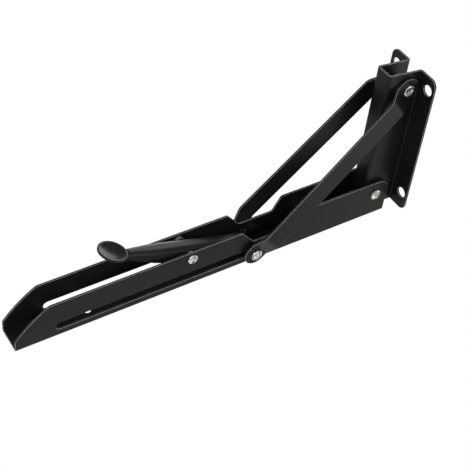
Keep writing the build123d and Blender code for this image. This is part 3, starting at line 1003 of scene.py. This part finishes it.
class BRACKET_OT_spring(bpy.types.Operator):
    """Winds the return spring of the lever, with its two legs"""

    bl_idname = "bracket.spring"
    bl_label = "Return spring"

    def execute(self, context):
        size, tilt = context.scene.bracket_spring, context.scene.bracket_lever.tilt
        _, high = box_of("lever_spring")
        turn = 2 * math.pi * size.turns + math.pi / 2 - tilt
        travel = size.pitch * turn / (2 * math.pi)
        start = LEVER_PIVOT + Vector(
            (-math.sin(tilt) * size.mean, -travel / 2, -math.cos(tilt) * size.mean))
        ahead = Vector((math.cos(tilt), 0, -math.sin(tilt)))
        shape = bmesh.new()
        tip = start + ahead * size.leg
        made = bmesh.ops.create_circle(
            shape, cap_ends=True, segments=14, radius=size.wire / 2,
            matrix=Matrix.Translation(tip) @ ahead.to_track_quat("Z", "Y").to_matrix().to_4x4(),
        )
        ring = made["verts"][0].link_faces[:]

        def lengthen(faces, travel):
            made = bmesh.ops.extrude_face_region(shape, geom=faces)["geom"]
            if len(shape.faces) > 40:
                bmesh.ops.delete(shape, geom=faces, context="FACES_ONLY")
            bmesh.ops.translate(shape, verts=verts_in(made), vec=travel)
            return faces_in(made)

        def wind(faces, centre, axis, angle, steps, rise=0.0):
            made = bmesh.ops.spin(
                shape, geom=faces, cent=centre, axis=axis, dvec=Vector(axis) * rise / steps,
                angle=angle, steps=steps, use_merge=False,
            )["geom_last"]
            bmesh.ops.delete(shape, geom=faces, context="FACES_ONLY")
            return faces_in(made)

        end = lengthen(ring, -ahead * size.leg)
        end = wind(end, LEVER_PIVOT + Vector((0, -travel / 2, 0)), (0, 1, 0), turn, 40, travel)
        end = lengthen(end, (0, 0, size.rise - size.knee))
        corner = LEVER_PIVOT + Vector((-size.mean, travel / 2 + size.knee, size.rise - size.knee))
        end = wind(end, corner, (-1, 0, 0), math.pi / 2, 8)
        lengthen(end, (0, high.y - travel / 2 - size.knee, 0))
        bmesh.ops.remove_doubles(shape, verts=shape.verts, dist=0.001 * MM)
        face_outwards(shape)
        finished("wound_lever_spring", shape, None, "drawn_spring_wire", "lever_spring")
        return {"FINISHED"}


LAMPS = (
    # name, azimuth, elevation, distance, size, watts
    ("overhead", 0.0, 85.0, 1.3, 1.2, 2.0),
    ("key", 54.0, 45.0, 1.4, 0.7, 5.0),
    ("free_end", 125.0, -20.0, 1.4, 0.8, 4.0),
    ("rear", 230.0, -2.0, 1.2, 0.8, 13.0),
    ("wall_end", 300.0, 20.0, 1.4, 0.8, 3.0),
    ("edge_light", 49.0, -30.0, 1.1, 0.45, 9.0),
    ("low_edge_light", -36.0, -42.0, 0.95, 0.4, 5.0),
)


def direction(azimuth, elevation):
    """Unit vector from the bracket: azimuth 0 is -Y and grows towards +X."""
    return Vector((
        math.sin(azimuth) * math.cos(elevation),
        -math.cos(azimuth) * math.cos(elevation),
        math.sin(elevation),
    ))


class BRACKET_OT_stage(bpy.types.Operator):
    """Sets the floor, the white surround, the lamps and the camera"""

    bl_idname = "bracket.stage"
    bl_label = "Studio"

    def execute(self, context):
        scene = context.scene
        stage = scene.bracket_stage
        shape = bmesh.new()
        bmesh.ops.create_grid(
            shape, x_segments=1, y_segments=1, size=stage.floor_size / 2,
            matrix=Matrix.Translation((0, 0, -stage.floor_drop)),
        )
        mesh = bpy.data.meshes.new("floor")
        shape.to_mesh(mesh)
        shape.free()
        floor = bpy.data.objects.new("floor", mesh)
        scene.collection.objects.link(floor)
        paint = new_material("pale_matt_floor")
        seen = node(paint, "ShaderNodeLightPath")
        lift = node(paint, "ShaderNodeMath", {
            0: seen.outputs["Is Camera Ray"], 1: stage.floor_lift}, operation="MULTIPLY")
        shader = node(paint, "ShaderNodeBsdfPrincipled", {
            "Base Color": linear(stage.floor_colour), "Roughness": 0.9, "Specular IOR Level": 0.2,
            "Emission Color": linear(stage.floor_colour), "Emission Strength": lift.outputs["Value"],
        })
        mesh.materials.append(close_material(paint, shader))

        world = bpy.data.worlds.new("white_surround")
        scene.world = world
        world.use_nodes = True
        world.node_tree.nodes.clear()
        rays = node(world, "ShaderNodeLightPath").outputs
        seen = node(world, "ShaderNodeMath", {
            0: rays["Is Camera Ray"], 1: rays["Is Glossy Ray"]}, operation="MAXIMUM")
        also = node(world, "ShaderNodeMath", {
            0: seen.outputs["Value"], 1: rays["Is Transmission Ray"]}, operation="MAXIMUM")
        strength = node(world, "ShaderNodeMapRange", {
            "Value": also.outputs["Value"], "To Min": 0.5, "To Max": 1.0})
        light = node(world, "ShaderNodeBackground", {
            "Color": linear("#ffffff"), "Strength": strength.outputs["Result"]})
        output = node(world, "ShaderNodeOutputWorld")
        world.node_tree.links.new(light.outputs["Background"], output.inputs["Surface"])

        centre = Vector(stage.target)
        for name, azimuth, elevation, distance, size, watts in LAMPS:
            lamp = bpy.data.lights.new(name, "AREA")
            lamp.size = size
            lamp.energy = watts
            holder = bpy.data.objects.new(name, lamp)
            away = direction(math.radians(azimuth), math.radians(elevation))
            holder.location = centre + away * distance
            holder.rotation_euler = away.to_track_quat("Z", "Y").to_euler()
            scene.collection.objects.link(holder)

        camera = bpy.data.objects.new("camera", bpy.data.cameras.new("camera"))
        camera.data.lens = stage.lens
        camera.data.sensor_width = 36
        camera.data.shift_x, camera.data.shift_y = stage.shift
        camera.data.clip_start = 0.01
        camera.data.clip_end = 50
        away = direction(stage.azimuth, stage.elevation)
        turn = away.to_track_quat("Z", "Y").to_matrix() @ Matrix.Rotation(stage.roll, 3, "Z")
        camera.location = centre + away * stage.distance
        camera.rotation_euler = turn.to_euler()
        scene.collection.objects.link(camera)
        scene.camera = camera
        scene.view_settings.view_transform = "Standard"
        return {"FINISHED"}


class BRACKET_PT_panel(bpy.types.Panel):
    """Lists the bracket's pieces and their settings"""

    bl_label = "Folding shelf bracket"
    bl_idname = "BRACKET_PT_panel"
    bl_space_type = "VIEW_3D"
    bl_region_type = "UI"
    bl_category = "Bracket"

    def draw(self, context):
        for operator in OPERATORS:
            self.layout.operator(operator.bl_idname)
        for name, group in SETTINGS.items():
            column = self.layout.box().column()
            for prop in group.__annotations__:
                column.prop(getattr(context.scene, name), prop)


OPERATORS = (
    BRACKET_OT_stage,
    BRACKET_OT_wall_plate,
    BRACKET_OT_shelf_arm,
    BRACKET_OT_struts,
    BRACKET_OT_release_lever,
    BRACKET_OT_rivets,
    BRACKET_OT_washers,
    BRACKET_OT_spring,
)


def register():
    for cls in (*SETTINGS.values(), *OPERATORS, BRACKET_PT_panel):
        bpy.utils.register_class(cls)
    for name, group in SETTINGS.items():
        setattr(bpy.types.Scene, name, bpy.props.PointerProperty(type=group))


def unregister():
    for name in SETTINGS:
        delattr(bpy.types.Scene, name)
    for cls in reversed((*SETTINGS.values(), *OPERATORS, BRACKET_PT_panel)):
        bpy.utils.unregister_class(cls)


def main():
    register()
    for operator in OPERATORS:
        group, name = operator.bl_idname.split(".")
        getattr(getattr(bpy.ops, group), name)()


if __name__ == "__main__":
    main()
